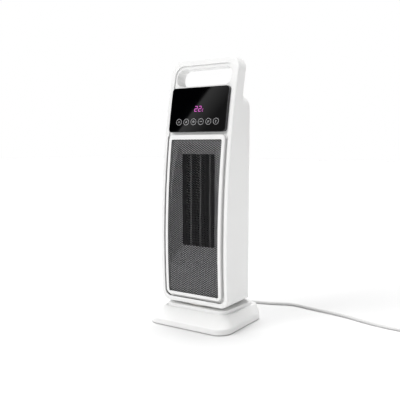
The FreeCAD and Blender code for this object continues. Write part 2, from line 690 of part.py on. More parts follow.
CORD_ROUTE = [
    CORD_EXIT,
    (0.5, 123.0, 4.2),
    (5.3, 136.2, CORD_RADIUS),
    (14.7, 146.6, CORD_RADIUS),
    (27.3, 152.7, CORD_RADIUS),
    (47.0, 156.2, CORD_RADIUS),
    (72.0, 166.0, CORD_RADIUS),
    (95.0, 177.5, CORD_RADIUS),
    (121.0, 177.5, CORD_RADIUS),
    (150.0, 170.5, CORD_RADIUS),
    (188.0, 166.0, CORD_RADIUS),
    (228.0, 158.0, CORD_RADIUS),
    (268.0, 143.5, CORD_RADIUS),
    (308.0, 134.5, CORD_RADIUS),
    (348.0, 132.5, CORD_RADIUS),
    (388.0, 135.0, CORD_RADIUS),
]
TAIL_ROUTE = [
    (432.0, 96.0, CORD_RADIUS),
    (431.0, 79.0, CORD_RADIUS),
    (428.5, 62.5, CORD_RADIUS),
    (426.5, 46.0, 4.2),
    (426.0, 30.0, 11.2),
    (426.5, 13.5, 18.6),
    (426.0, -2.9, 18.6),
]
PLUG_AT = (426.0, -39.0, 18.6)    # middle of the plug's rear, its pins point to -Y


def cone(r0, r1, low, height, direction):
    return Part.makeCone(r0, r1, height, V(*low), direction)


def make_gland():
    """Strain relief: collar inside the wall, neck through it and a tapered sleeve outside."""
    y = BASE_HALF_Y
    inside = box(-7, 7, y - WALL - 3, y - WALL - 0.05, 4.7, 11.3)
    neck = rod(4.4, (0, y - WALL - 0.15, 8.0), WALL + 0.15, V(0, 1, 0))
    sleeve = cone(5.8, 4.2, (0, y, 8.0), CORD_EXIT[1] - y, V(0, 1, 0))
    lead_in = tube([(0, y - 6, 8.0), (0, y + 10, 7.9), (0, y + 28.2, 7.0)], CORD_RADIUS)
    return fuse(inside, neck, sleeve).cut(lead_in)


def make_plug():
    """Body with two side cheeks, round pins and the sleeve round the cord."""
    x, y, z = PLUG_AT
    face = rod(18.6, (x, y - 14, z), 14, V(0, 1, 0))
    waist = cone(15.5, 8.5, (x, y, z), 18.0, V(0, 1, 0))
    body = fuse(face, waist)
    body = body.cut(box(x - 6, x + 6, y - 30, y - 2, z + 15.0, z + 30))
    body = body.cut(box(x - 6, x + 6, y - 30, y - 2, z - 30, z - 15.0))
    pins = []
    for side in (-1, 1):
        pin = rod(2.4, (x + side * 9.5, y - 14, z), 17.0, FORWARD)
        tip = Part.makeSphere(2.4, V(x + side * 9.5, y - 31, z))
        pins.append(fuse(pin, tip))
    relief = cone(8.5, 4.2, (x, y + 18, z), 18.0, V(0, 1, 0))
    return body, group(pins), relief


# ------------------------------------------------------------------ write every piece
os.makedirs("parts", exist_ok=True)

save("base_shell", make_base_shell())
save("base_plate", make_base_plate())
save("base_feet", group([rod(7.0, (x, y, 0.0), 3.4) for x, y in foot_places()]))
save("base_screws", group([
    fuse(rod(3.2, (x, y, 1.0), 1.2), rod(1.7, (x, y, 2.2), 6.0)) for x, y in screw_places()]))
save("swivel_bush", make_bush())
motor = fuse(rod(25.0, (*DRIVE, 4.5), 14.0), rod(6.0, (*DRIVE, 18.5), 3.5),
             box(DRIVE[0] - 4, DRIVE[0] + 4, DRIVE[1] - 33, DRIVE[1] + 33, 4.5, 6.0))
motor = motor.cut(rod(SHAFT + RUNNING, (*DRIVE, 12.0), 20))
for side in (-1, 1):
    motor = motor.cut(rod(1.7, (DRIVE[0], DRIVE[1] + side * 29.5, 2), 8))
save("oscillation_motor", motor)
save("oscillation_screws", group([
    fuse(rod(3.0, (DRIVE[0], DRIVE[1] + side * 29.5, 6.0), 1.6),
         rod(1.6, (DRIVE[0], DRIVE[1] + side * 29.5, 4.6), 1.4)) for side in (-1, 1)]))
save("tip_switch", make_tip_switch())
save("tip_spring", make_tip_spring())
save("tip_plunger", make_plunger())
save("drive_pinion", involute_gear(PINION_TEETH, DRIVE, SHAFT, 15.0))
save("drive_shaft", rod(SHAFT, (*DRIVE, 12.5), 16.5))
save("turntable_gear", involute_gear(GEAR_TEETH, (0, SWIVEL_Y), 12.0, 0.0))
save("turntable_hub", make_hub())
save("hub_screws", group([
    fuse(rod(1.2, (*polar(0, SWIVEL_Y, 30.0, a), 37.0), 5.2 + 0.2),
         rod(2.8, (*polar(0, SWIVEL_Y, 30.0, a), BOTTOM + WALL), 1.5)) for a in (90, 210, 330)]))
save("terminal_block", box(-13, 13, 40, 52, 4.5, 15.5))
save("base_leads", group([
    rod(CORD_RADIUS, (0, 52.2, 8.0), BASE_HALF_Y - WALL - 3.2 - 52.2, V(0, 1, 0)),
    tube([(0, 39.8, 8.0), (0, 24.0, 8.0), (0, SWIVEL_Y + 0.5, 11.0), (0, SWIVEL_Y, 22.0)], 2.6)]))

save("front_frame", make_front_frame())
save("front_bezel", make_front_bezel())
save("front_grille", make_grille())
save("rear_housing", make_rear_housing())
save("panel_housing", make_panel_housing())
save("panel_glass", make_panel_glass())
inside_panel = upright(PANEL_HALF - 2.4, PANEL_LOW + 2.4, PANEL_HIGH - 2.4, 4, 4)
save("display_board", inside_panel.common(layer(2.8, 4.4)))
save("led_display", box(-19, 19, -60, 20, 395, 415).common(layer(-1.1, 2.7)))
save("touch_springs", make_touch_springs())
board_y = CONTROL_BOARD_Y
save("control_board", box(-48, 48, board_y, board_y + 1.6, 340, 410))
relays = [box(x - 8, x + 8, board_y - 14, board_y, 350, 368) for x in (-34, -12, 10)]
caps = [rod(6.5, (x, board_y, 390.0), 13.0, FORWARD) for x in (-32, -10)]
save("board_parts", group([*relays, *caps, box(18, 42, board_y - 16, board_y, 376, 402)]))
save("outlet_funnel", make_funnel())
frame, fins, bars, tabs = make_element()
save("ptc_frame", frame)
save("ptc_fins", fins)
save("ptc_bars", bars)
save("ptc_terminals", tabs)
frame_top = ELEMENT_HIGH + ELEMENT_BORDER
save("thermal_cutout", fuse(rod(7.5, (32.0, -14.0, frame_top + 9), 7.0, V(0, 1, 0)),
                            box(30, 34, -20.0, -14.0, frame_top, frame_top + 12)))
save("fan_scroll", make_scroll())
save("fan_motor", fuse(ring(24.0, 2.5 + RUNNING, (0, ROTOR_Y, MOTOR_LOW), 30.0),
                       ring(9.0, 2.5 + RUNNING, (0, ROTOR_Y, MOTOR_LOW + 30), 8.0)))
mount_top = MOTOR_LOW + 40.5
save("motor_mount", fuse(
    box(-34, 34, ROTOR_Y - 10, ROTOR_Y + 10, mount_top - 2, mount_top).cut(
        rod(9.2, (0, ROTOR_Y, mount_top - 5), 8)),
    box(-36, -34, ROTOR_Y - 10, ROTOR_Y + 10, BOTTOM + WALL, SCROLL_LOW),
    box(34, 36, ROTOR_Y - 10, ROTOR_Y + 10, BOTTOM + WALL, SCROLL_LOW),
    box(-26, -24.2, ROTOR_Y - 10, ROTOR_Y + 10, MOTOR_LOW + 6, mount_top),
    box(24.2, 26, ROTOR_Y - 10, ROTOR_Y + 10, MOTOR_LOW + 6, mount_top)))
save("top_bearing", ring(9.9, 2.5 + RUNNING, (0, ROTOR_Y, SCROLL_HIGH - 2), 6.0))
save("fan_rotor", make_rotor())
save("rotor_shafts", group([
    fuse(rod(2.5, (0, ROTOR_Y, MOTOR_LOW + 2), ROTOR_LOW - MOTOR_LOW),
         rod(4.0, (0, ROTOR_Y, ROTOR_LOW), 2.0)),
    fuse(rod(4.0, (0, ROTOR_Y, ROTOR_HIGH - 2), 2.0), rod(2.5, (0, ROTOR_Y, ROTOR_HIGH), 12.5))]))
save("switch_body", make_switch_body())
save("switch_rocker", make_switch_rocker())
save("tower_leads", group([
    tube([(0, SWIVEL_Y, 22.5), (0, SWIVEL_Y - 1.0, 46.0), (-22.0, -4.0, 52.0), (-52.0, 4.0, 58.0),
          (-54.0, 12.0, 100.0), (-54.0, 16.0, 180.0), (-54.0, 18.0, 260.0), (-53.0, 18.5, 328.0),
          (-43.0, 20.0, 337.0)], 2.4)]))
tab_top = frame_top + TAB_HEIGHT + 0.3
save("element_leads", group([
    tube([(x, TAB_Y, tab_top), (x, TAB_Y + 1.0, tab_top + 8),
          (x * 0.9, -4.0, 354.0), (x * 0.8, board_y - 14.4, 356.0)], 1.3) for x in (-BAR_PITCH, 0.0)]))
save("housing_screws", group([
    fuse(rod(1.9, (x, y - 11.0, z), 16.2, V(0, 1, 0)), rod(3.6, (x, y + 5.1, z), 2.2, V(0, 1, 0)))
    for x, y, z in screw_axes()]))

save("cord_gland", make_gland())
save("cord_tube", tube(CORD_ROUTE, CORD_RADIUS, "cord_tube"))
save("cord_coil", ring(COIL_OUTER, COIL_INNER, (*COIL_CENTRE, 0.0), COIL_HEIGHT))
save("cord_tail", tube(TAIL_ROUTE, CORD_RADIUS, "cord_tail"))
band = box(COIL_CENTRE[0] - 6, COIL_CENTRE[0] + 6, COIL_CENTRE[1] - COIL_OUTER - 1.6,
           COIL_CENTRE[1] - COIL_INNER + 1.6, 0.0, COIL_HEIGHT + 1.5)
save("cord_tie", band.cut(ring(COIL_OUTER, COIL_INNER, (*COIL_CENTRE, -1.0), COIL_HEIGHT + 1.0)))
plug, pins, relief = make_plug()
save("plug_body", plug)
save("plug_pins", pins)
save("plug_relief", relief)
print(len(made), "nodes")
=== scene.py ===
# %% [markdown]
# # A tower heater with a ceramic element
# The designed parts of the heater come in as a fixed frame: every moulding, shaft and screw has its
# final size and place. This lesson adds what a designer's model leaves out: the fine steel mesh, the
# lit display, the corrugated heating core, the flexible cord, and a finish for every surface.

# %% Load the frame
import json
import math

import bpy
import numpy as np
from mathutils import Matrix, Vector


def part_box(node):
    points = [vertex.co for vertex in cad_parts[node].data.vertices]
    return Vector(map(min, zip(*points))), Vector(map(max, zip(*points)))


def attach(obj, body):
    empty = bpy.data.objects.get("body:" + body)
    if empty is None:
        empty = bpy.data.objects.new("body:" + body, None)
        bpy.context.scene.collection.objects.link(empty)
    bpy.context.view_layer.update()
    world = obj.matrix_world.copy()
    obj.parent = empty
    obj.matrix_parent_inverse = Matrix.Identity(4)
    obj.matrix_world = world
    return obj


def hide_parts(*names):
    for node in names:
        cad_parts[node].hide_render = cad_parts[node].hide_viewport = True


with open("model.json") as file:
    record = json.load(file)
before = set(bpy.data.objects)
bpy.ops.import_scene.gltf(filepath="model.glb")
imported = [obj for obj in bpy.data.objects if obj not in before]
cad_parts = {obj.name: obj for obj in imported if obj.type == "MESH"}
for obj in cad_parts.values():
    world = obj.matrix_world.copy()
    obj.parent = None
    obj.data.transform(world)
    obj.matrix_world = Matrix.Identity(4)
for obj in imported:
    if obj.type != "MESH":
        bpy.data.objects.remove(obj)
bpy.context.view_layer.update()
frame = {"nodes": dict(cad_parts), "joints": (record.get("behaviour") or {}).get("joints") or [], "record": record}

MM = 0.001
nodes = frame["nodes"]

# %% [markdown]
# ## The camera
# A product picture is taken from a little above table height and from the right, with a long lens,
# so that upright lines stay nearly parallel. The camera is given by its place, by the compass angle
# that it looks along and by how far it looks down, because those three are easy to reason about.

# %% Place the camera
def make_camera(place, turn, down, lens):
    """Camera at a place in metres: turned left by turn degrees from +Y, and tilted down."""
    data = bpy.data.cameras.new("view")
    data.lens = lens
    data.sensor_width = 36.0
    data.clip_start = 0.05
    data.clip_end = 60.0
    camera = bpy.data.objects.new("view", data)
    camera.location = place
    camera.rotation_euler = (math.radians(90.0 - down), 0.0, math.radians(turn))
    bpy.context.scene.collection.objects.link(camera)
    bpy.context.scene.camera = camera
    return camera


camera = make_camera((0.57785, -0.89704, 0.33486), 33.43, 5.42, 50.4)
print("camera stands", round(camera.location.length, 2), "m from the origin")

# %% [markdown]
# ## Meshes from arrays
# Every new surface here is a grid: rows of points that follow one parameter, columns that follow the
# other. One helper turns such a grid into faces, and another makes the object, so the cells below can
# keep to the formula of each shape.

# %% Grid helpers
def grid_faces(rows, columns, wrap=False):
    """Quads between neighbouring rows and columns; wrap joins the last column to the first."""
    r = np.arange(rows - 1)[:, None] * columns
    c = np.arange(columns if wrap else columns - 1)[None, :]
    n = (c + 1) % columns
    return np.stack([r + c, r + n, r + columns + n, r + columns + c], axis=-1).reshape(-1, 4)


def make_piece(name, points, faces, body, material=None, smooth=True):
    """An object at the origin whose mesh holds the points, in metres, and rides on a body."""
    mesh = bpy.data.meshes.new(name)
    points = np.asarray(points, float).reshape(-1, 3)
    mesh.from_pydata(points.tolist(), [], [list(map(int, f)) for f in faces])
    mesh.polygons.foreach_set("use_smooth", np.full(len(mesh.polygons), smooth))
    mesh.update()
    piece = bpy.data.objects.new(name, mesh)
    bpy.context.scene.collection.objects.link(piece)
    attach(piece, body)
    if material:
        mesh.materials.append(material)
    print(f"{name}: {len(points)} points, {len(mesh.polygons)} faces")
    return piece


def join(parts):
    """Several (points, faces) pairs as one pair."""
    offset, points, faces = 0, [], []
    for p, f in parts:
        p = np.asarray(p, float).reshape(-1, 3)
        points.append(p)
        faces += [[int(i) + offset for i in face] for face in f]
        offset += len(p)
    return np.concatenate(points), faces


def lathe(profile, centre, axis, count=48):
    """Turns a profile of (distance along the axis, radius) about a line through centre.

    A ring of points at angle a stands at centre + axis * along + radius * (cos a, sin a)."""
    axis = np.array(axis, float)
    side = np.cross(axis, [0.0, 0.0, 1.0] if abs(axis[2]) < 0.9 else [1.0, 0.0, 0.0])
    side /= np.linalg.norm(side)
    other = np.cross(axis, side)
    along, radius = np.array(profile, float).T
    a = np.linspace(0, 2 * np.pi, count, endpoint=False)
    circle = np.cos(a)[:, None] * side + np.sin(a)[:, None] * other
    points = np.array(centre) + along[:, None, None] * axis + radius[:, None, None] * circle[None]
    faces = grid_faces(len(along), count, wrap=True)[:, ::-1].tolist()
    last = (len(along) - 1) * count
    if radius[0] > 0:
        faces.append(list(range(count)))
    if radius[-1] > 0:
        faces.append([last + i for i in range(count)][::-1])
    return points.reshape(-1, 3), faces


# %% [markdown]
# ## Shared surface effects
# No moulding is one flat colour. Three effects turn up in nearly every finish here, so each is a node
# group with named sockets: a fine grain from the spark-eroded mould, a slow unevenness of tone, and
# the dust that gathers near the floor. A group gives masks and heights only; each material decides
# what to do with them.

# %% Node groups
def new_group(name, inputs, outputs):
    """An empty shader group; inputs are (socket, default), outputs are socket names."""
    group = bpy.data.node_groups.new(name, "ShaderNodeTree")
    for socket, value in inputs:
        made = group.interface.new_socket(socket, in_out="INPUT", socket_type="NodeSocketFloat")
        made.default_value = value
    for socket in outputs:
        group.interface.new_socket(socket, in_out="OUTPUT", socket_type="NodeSocketFloat")
    return group, group.nodes.new("NodeGroupInput"), group.nodes.new("NodeGroupOutput")


def add(tree, kind, **values):
    """A node with its properties and the defaults of its inputs set by name."""
    node = tree.nodes.new(kind)
    for key, value in values.items():
        if hasattr(node, key):
            setattr(node, key, value)
        else:
            node.inputs[key.replace("_", " ")].default_value = value
    return node


def math_node(tree, operation, a, b=None):
    """A math node fed by sockets or numbers; returns its output."""
    node = tree.nodes.new("ShaderNodeMath")
    node.operation = operation
    for index, value in enumerate((a, b)):
        if value is None:
            continue
        if isinstance(value, (int, float)):
            node.inputs[index].default_value = value
        else:
            tree.links.new(value, node.inputs[index])
    return node.outputs[0]


def make_grain_group():
    """Height of a fine moulded grain: small noise plus a little of a coarser one."""
    group, inside, outside = new_group("moulded_grain", [("Size", 0.5)], ["Height"])
    place = group.nodes.new("ShaderNodeTexCoord").outputs["Object"]
    scale = math_node(group, "DIVIDE", 1000.0, inside.outputs["Size"])
    fine = add(group, "ShaderNodeTexNoise", Detail=2.0)
    coarse = add(group, "ShaderNodeTexNoise", Detail=1.0)
    group.links.new(place, fine.inputs["Vector"])
    group.links.new(place, coarse.inputs["Vector"])
    group.links.new(scale, fine.inputs["Scale"])
    group.links.new(math_node(group, "MULTIPLY", scale, 0.13), coarse.inputs["Scale"])
    mixed = math_node(group, "ADD", fine.outputs[0], math_node(group, "MULTIPLY", coarse.outputs[0], 0.6))
    group.links.new(mixed, outside.inputs["Height"])
    return group


def make_tone_group():
    """Slow unevenness from 0 to 1, in patches of Size millimetres."""
    group, inside, outside = new_group("slow_tone", [("Size", 40.0)], ["Mask"])
    place = group.nodes.new("ShaderNodeTexCoord").outputs["Object"]
    noise = add(group, "ShaderNodeTexNoise", Detail=3.0, Roughness=0.6)
    group.links.new(place, noise.inputs["Vector"])
    group.links.new(math_node(group, "DIVIDE", 1000.0, inside.outputs["Size"]), noise.inputs["Scale"])
    group.links.new(noise.outputs[0], outside.inputs["Mask"])
    return group


def make_dust_group():
    """Dust that thins out with height: 1 on the floor, 0 at Top millimetres, broken by noise."""
    group, inside, outside = new_group("low_dust", [("Top", 30.0), ("Amount", 0.5)], ["Mask"])
    place = group.nodes.new("ShaderNodeTexCoord").outputs["Object"]
    apart = group.nodes.new("ShaderNodeSeparateXYZ")
    group.links.new(place, apart.inputs[0])
    share = math_node(group, "DIVIDE", apart.outputs["Z"],
                      math_node(group, "MULTIPLY", inside.outputs["Top"], 0.001))
    low = math_node(group, "SUBTRACT", 1.0, share)
    low = math_node(group, "MAXIMUM", low, 0.0)
    noise = add(group, "ShaderNodeTexNoise", Scale=900.0, Detail=4.0)
    group.links.new(place, noise.inputs["Vector"])
    mask = math_node(group, "MULTIPLY", low, noise.outputs[0])
    mask = math_node(group, "MULTIPLY", mask, inside.outputs["Amount"])
    group.links.new(mask, outside.inputs["Mask"])
    return group


GRAIN = make_grain_group()
TONE = make_tone_group()
DUST = make_dust_group()
print("node groups:", [g.name for g in bpy.data.node_groups])

# %% [markdown]
# ## The finishes
# One function builds a finish from those effects: the slow tone shifts the colour and the roughness
# by a few hundredths, the grain feeds a Bump node whose depth is a real one in millimetres, and dust
# lightens what is near the floor. Each real finish is then one line of values.

# %% A finish from the shared effects
def mix_colour(tree, factor, a, b):
    """Linear mix of two colours or sockets by a factor socket."""
    node = tree.nodes.new("ShaderNodeMix")
    node.data_type = "RGBA"
    tree.links.new(factor, node.inputs["Factor"])
    for socket, value in zip((node.inputs[6], node.inputs[7]), (a, b)):
        if isinstance(value, tuple):
            socket.default_value = (*value, 1.0)
        else:
            tree.links.new(value, socket)
    return node.outputs[2]


def place_group(tree, group, **values):
    """An instance of a shared effect with its own values."""
    node = tree.nodes.new("ShaderNodeGroup")
    node.node_tree = group
    for key, value in values.items():
        node.inputs[key].default_value = value
    return node.outputs


def make_finish(name, colour, rough, grain=0.5, depth=0.01, tone=0.03, patch=40.0, rough_span=0.06,
                metallic=0.0, coat=0.0, dust=0.0, ior=1.46):
    """A surface with grain of a size and depth in millimetres, uneven tone, and dust by the floor."""
    material = bpy.data.materials.new(name)
    material.use_nodes = True
    tree = material.node_tree
    shader = tree.nodes["Principled BSDF"]
    shader.inputs["Metallic"].default_value = metallic
    shader.inputs["Coat Weight"].default_value = coat
    shader.inputs["Coat Roughness"].default_value = 0.05
    shader.inputs["IOR"].default_value = ior
    mask = place_group(tree, TONE, Size=patch)["Mask"]
    dark = tuple(max(0.0, c * (1.0 - tone)) for c in colour)
    light = tuple(min(1.0, c * (1.0 + tone)) for c in colour)
    surface = mix_colour(tree, mask, dark, light)
    if dust:
        fall = place_group(tree, DUST, Top=40.0, Amount=dust)["Mask"]
        surface = mix_colour(tree, fall, surface, (0.62, 0.60, 0.57))
    tree.links.new(surface, shader.inputs["Base Color"])
    spread = math_node(tree, "MULTIPLY", mask, 2.0 * rough_span)
    tree.links.new(math_node(tree, "ADD", spread, rough - rough_span), shader.inputs["Roughness"])
    bump = add(tree, "ShaderNodeBump", Strength=1.0, Distance=depth * MM)
    tree.links.new(place_group(tree, GRAIN, Size=grain)["Height"], bump.inputs["Height"])
    tree.links.new(bump.outputs["Normal"], shader.inputs["Normal"])
    return material


# %% The object's finishes
WHITE = (0.80, 0.80, 0.795)
finishes = {
    "white_shell": make_finish("white_shell", WHITE, 0.34, grain=0.6, depth=0.006, tone=0.012, dust=0.10),
    "grille_metal": make_finish("grille_metal", (0.011, 0.011, 0.012), 0.45, grain=0.4, depth=0.01,
                                tone=0.10, ior=1.3),
    "panel_gloss": make_finish("panel_gloss", (0.0004, 0.0004, 0.0006), 0.04, grain=3.0, depth=0.0002,
                               rough_span=0.015, patch=25.0),
    "panel_side": make_finish("panel_side", (0.075, 0.075, 0.078), 0.42, grain=0.5, depth=0.01),
    "funnel_grey": make_finish("funnel_grey", (0.56, 0.56, 0.57), 0.5, grain=0.8, depth=0.02, tone=0.04),
    "heat_frame": make_finish("heat_frame", (0.006, 0.006, 0.006), 0.65, grain=0.7, depth=0.02),
    "fin_metal": make_finish("fin_metal", (0.008, 0.008, 0.008), 0.6, grain=0.5, depth=0.01,
                             tone=0.2, patch=6.0, metallic=0.4),
    "ceramic": make_finish("ceramic", (0.24, 0.24, 0.24), 0.5, grain=0.4, depth=0.02, metallic=0.3),
    "brass": make_finish("brass", (0.72, 0.52, 0.22), 0.3, metallic=1.0, tone=0.1, patch=8.0),
    "fan_plastic": make_finish("fan_plastic", (0.03, 0.03, 0.03), 0.45, dust=0.0),
    "inner_plastic": make_finish("inner_plastic", (0.62, 0.62, 0.60), 0.5, depth=0.02),
    "bearing_plastic": make_finish("bearing_plastic", (0.74, 0.73, 0.68), 0.35, depth=0.01),
    "gear_plastic": make_finish("gear_plastic", (0.70, 0.67, 0.58), 0.4, depth=0.01),
    "motor_case": make_finish("motor_case", (0.55, 0.55, 0.54), 0.35, metallic=1.0, tone=0.12),
    "spring_steel": make_finish("spring_steel", (0.60, 0.60, 0.61), 0.25, metallic=1.0, tone=0.1),
    "screw_steel": make_finish("screw_steel", (0.50, 0.50, 0.50), 0.3, metallic=1.0, tone=0.15, patch=3.0),
    "board_green": make_finish("board_green", (0.02, 0.16, 0.06), 0.3, grain=1.5, depth=0.02),
    "board_parts": make_finish("board_parts", (0.03, 0.05, 0.16), 0.35),
    "lead_sleeve": make_finish("lead_sleeve", (0.62, 0.62, 0.60), 0.55),
    "rocker_plastic": make_finish("rocker_plastic", (0.010, 0.010, 0.011), 0.22, depth=0.003),
    "foot_rubber": make_finish("foot_rubber", (0.035, 0.035, 0.035), 0.75, grain=0.9, depth=0.05,
                               tone=0.15, dust=0.4),
    "cord_jacket": make_finish("cord_jacket", (0.60, 0.60, 0.595), 0.42, grain=1.2, depth=0.02, tone=0.04),
    "tie_strap": make_finish("tie_strap", (0.66, 0.66, 0.65), 0.45, depth=0.01),
    "plug_plastic": make_finish("plug_plastic", (0.76, 0.76, 0.755), 0.32, grain=0.7, depth=0.01),
    "pin_nickel": make_finish("pin_nickel", (0.66, 0.65, 0.63), 0.16, metallic=1.0, tone=0.08, patch=4.0),
}
display = bpy.data.materials.new("display_face")
finishes["display_face"] = display
print(len(finishes), "finishes")

# %% [markdown]
# The digits are light seen through a smoked cover, so they glow. A lit segment isn't equally bright
# all along, which a slow noise between a dim and a bright magenta imitates.

# %% The lit display
def finish_display(material):
    """Magenta light between a dim and a bright tone, on a dark satin body."""
    material.use_nodes = True
    tree = material.node_tree
    shader = tree.nodes["Principled BSDF"]
    shader.inputs["Roughness"].default_value = 0.3
    mask = place_group(tree, TONE, Size=2.0)["Mask"]
    tree.links.new(mix_colour(tree, mask, (0.40, 0.05, 0.34), (0.72, 0.17, 0.62)),
                   shader.inputs["Emission Color"])
    shader.inputs["Emission Strength"].default_value = 1.0
    tree.links.new(mix_colour(tree, mask, (0.10, 0.01, 0.08), (0.16, 0.02, 0.13)),
                   shader.inputs["Base Color"])
    bump = add(tree, "ShaderNodeBump", Strength=0.4, Distance=0.00002)
    tree.links.new(place_group(tree, GRAIN, Size=0.5)["Height"], bump.inputs["Height"])
    tree.links.new(bump.outputs["Normal"], shader.inputs["Normal"])


finish_display(display)

# %% [markdown]
# The record says which slot each designed part has, so one loop gives every part its finish.

# %% Finishes for the designed parts
slot_of = {row["node"]: row["material_slot"] for row in frame["record"]["subparts"]}
for name, node in nodes.items():
    node.data.materials.clear()
    node.data.materials.append(finishes[slot_of[name]])
print(len(nodes), "designed parts have their finish")

# %% [markdown]
# ## The cord
# A mains lead is a fixed length of something springy. It leaves the strain relief level, sinks to the
# floor within a few centimetres, wanders off in loose bends, and what is not needed lies in a tied
# coil. One smooth spline runs from the heater to the plug: the listed points of the free
# stretch, the turns of the coil from a formula, and the short tail that lifts to the plug.

# %% The cord's route
CORD_RADIUS = 3.0
FREE_ROUTE = [
    (0.0, 104.0, 7.0), (0.5, 123.0, 4.2), (5.3, 136.2, 3.0), (14.7, 146.6, 3.0), (27.3, 152.7, 3.0),
    (47.0, 156.2, 3.0), (72.0, 166.0, 3.0), (95.0, 177.5, 3.0), (121.0, 177.5, 3.0),
    (150.0, 170.5, 3.0), (188.0, 166.0, 3.0), (228.0, 158.0, 3.0), (268.0, 143.5, 3.0),
    (308.0, 134.5, 3.0), (348.0, 132.5, 3.0), (370.0, 134.8, 3.0),
]
TAIL_ROUTE = [
    (431.5, 84.0, 8.8), (430.6, 73.0, 6.5), (428.5, 62.5, 3.6), (426.8, 52.0, 3.0), (426.3, 42.0, 5.0),
    (426.0, 30.0, 11.2), (426.4, 13.5, 18.6), (426.0, -2.9, 18.6), (426.0, -9.0, 18.6),
]
coil_low, coil_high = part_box("cord_coil")
coil_centre = (coil_low + coil_high) / (2 * MM)
coil_outer = (coil_high.x - coil_low.x) / (2 * MM)


def smooth_step(t):
    """0 below 0, 1 above 1, and an S between."""
    t = np.clip(t, 0.0, 1.0)
    return t * t * (3.0 - 2.0 * t)


def coil_points(turns=5.22, per_turn=16):
    """Two layers of turns a diameter apart: inwards on the floor, then outwards on top.

    The turn number t grows clockwise from the north. Within each turn the radius holds, then steps
    by one diameter near the turn's end; the climb to the second layer comes just before the third
    step. Control points of a quadratic spline lie outside it by 1 / cos of half their spacing."""
    t = np.arange(0.0, turns, 1.0 / per_turn)
    whole, part = np.divmod(t, 1.0)
    step = smooth_step((part - 0.80) / 0.17)
    layout = np.array([0.0, 1.0, 2.0, 2.0, 1.0, 0.0, 0.0])
    index = whole.astype(int)
    inward = layout[index] + (layout[index + 1] - layout[index]) * step
    radius = coil_outer - CORD_RADIUS - inward * 2 * CORD_RADIUS
    radius /= math.cos(math.pi / per_turn)
    climb = smooth_step((t - 2.55) / 0.25)
    angle = math.pi / 2 - 2 * math.pi * t
    height = CORD_RADIUS + climb * 2 * CORD_RADIUS
    return np.stack([coil_centre.x + radius * np.cos(angle),
                     coil_centre.y + radius * np.sin(angle), height], axis=1)


route = np.concatenate([FREE_ROUTE, coil_points(), TAIL_ROUTE]) * MM
print("cord route:", len(route), "points, coil", round(2 * coil_outer), "mm across")


# %% Draw the cord as one spline
def make_cord(name, points, radius, material):
    """A round cord on one open quadratic spline through the route's control points."""
    curve = bpy.data.curves.new(name, "CURVE")
    curve.dimensions = "3D"
    curve.resolution_u = 5
    curve.bevel_depth = radius
    curve.bevel_resolution = 4
    curve.use_fill_caps = True
    spline = curve.splines.new("NURBS")
    spline.points.add(len(points) - 1)
    weights = np.ones((len(points), 1))
    spline.points.foreach_set("co", np.hstack([points, weights]).ravel())
    spline.order_u = 3
    spline.use_endpoint_u = True
    curve.materials.append(material)
    cord = bpy.data.objects.new(name, curve)
    bpy.context.scene.collection.objects.link(cord)
    return cord


def spline_length(curve_object):
    """Length of the spline itself, summed along its own points with no thickness."""
    bare = curve_object.data.copy()
    bare.bevel_depth = 0.0
    holder = bpy.data.objects.new("bare", bare)
    mesh = bpy.data.meshes.new_from_object(holder)
    line = np.zeros(len(mesh.vertices) * 3)
    mesh.vertices.foreach_get("co", line)
    bpy.data.objects.remove(holder)
    bpy.data.meshes.remove(mesh)
    bpy.data.curves.remove(bare)
    return float(np.linalg.norm(np.diff(line.reshape(-1, 3), axis=0), axis=1).sum())


cord = make_cord("mains_cord", route, CORD_RADIUS * MM, finishes["cord_jacket"])
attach(cord, "base")
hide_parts("cord_tube", "cord_coil", "cord_tail")
cord_length = spline_length(cord)
print("cord length:", round(cord_length, 3), "m")

# %% [markdown]
# ## Strain reliefs
# Where a lead leaves a housing it would kink, so a tapered rubber sleeve holds it, cut into ribs that
# let it bend gradually. The sleeve is a lathe shape whose radius falls evenly and dips between ribs.

# %% Ribbed sleeves
BORE = 0.00302          # a hair wider than the cord
TIP_RADIUS = 0.0042     # of both sleeves
GROOVE_SHARE = 0.16     # how deep the grooves are, as a share of the radius
GLAND_RADIUS = 0.0058
GLAND_HEIGHT = 0.008
GLAND_DROOP = 0.001
RELIEF_RADIUS = 0.0085  # where the plug's body ends and its sleeve begins
ROUND_COUNT = 40


def ribbed_profile(length, thick, thin, ribs, bore):
    """(along, radius) pairs: a taper with square-ish grooves, then back inside to the bore."""
    u = np.linspace(0.0, 1.0, ribs * 6 + 1)
    taper = thick + (thin - thick) * u
    wave = smooth_step((np.cos(2 * np.pi * ribs * u) + 0.55) / 0.7)
    radius = taper - GROOVE_SHARE * taper * (1.0 - wave) * (u > 0.08) * (u < 0.94)
    outer = np.stack([u * length, radius], axis=1)
    start = [(-0.002, bore), (-0.002, outer[0, 1])]
    end = [(length, bore), (length - 0.003, bore)]
    return start + list(map(tuple, outer)) + end


def close_lathe(pair):
    """Drops the two end caps of a lathe shape, so that a sleeve stays open for the cord."""
    points, faces = pair
    return points, faces[:-2]


wall_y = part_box("base_shell")[1].y
sleeve_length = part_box("cord_gland")[1].y - wall_y
sleeve = ribbed_profile(sleeve_length, GLAND_RADIUS, TIP_RADIUS, 7, BORE)
points, faces = close_lathe(lathe(sleeve, (0.0, wall_y, GLAND_HEIGHT), (0, 1, 0), ROUND_COUNT))
lean = np.clip((points[:, 1] - wall_y) / sleeve_length, 0, 1)
points[:, 2] -= GLAND_DROOP * lean**2
gland = make_piece("strain_relief", points, faces, "base", finishes["cord_jacket"])
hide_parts("cord_gland")

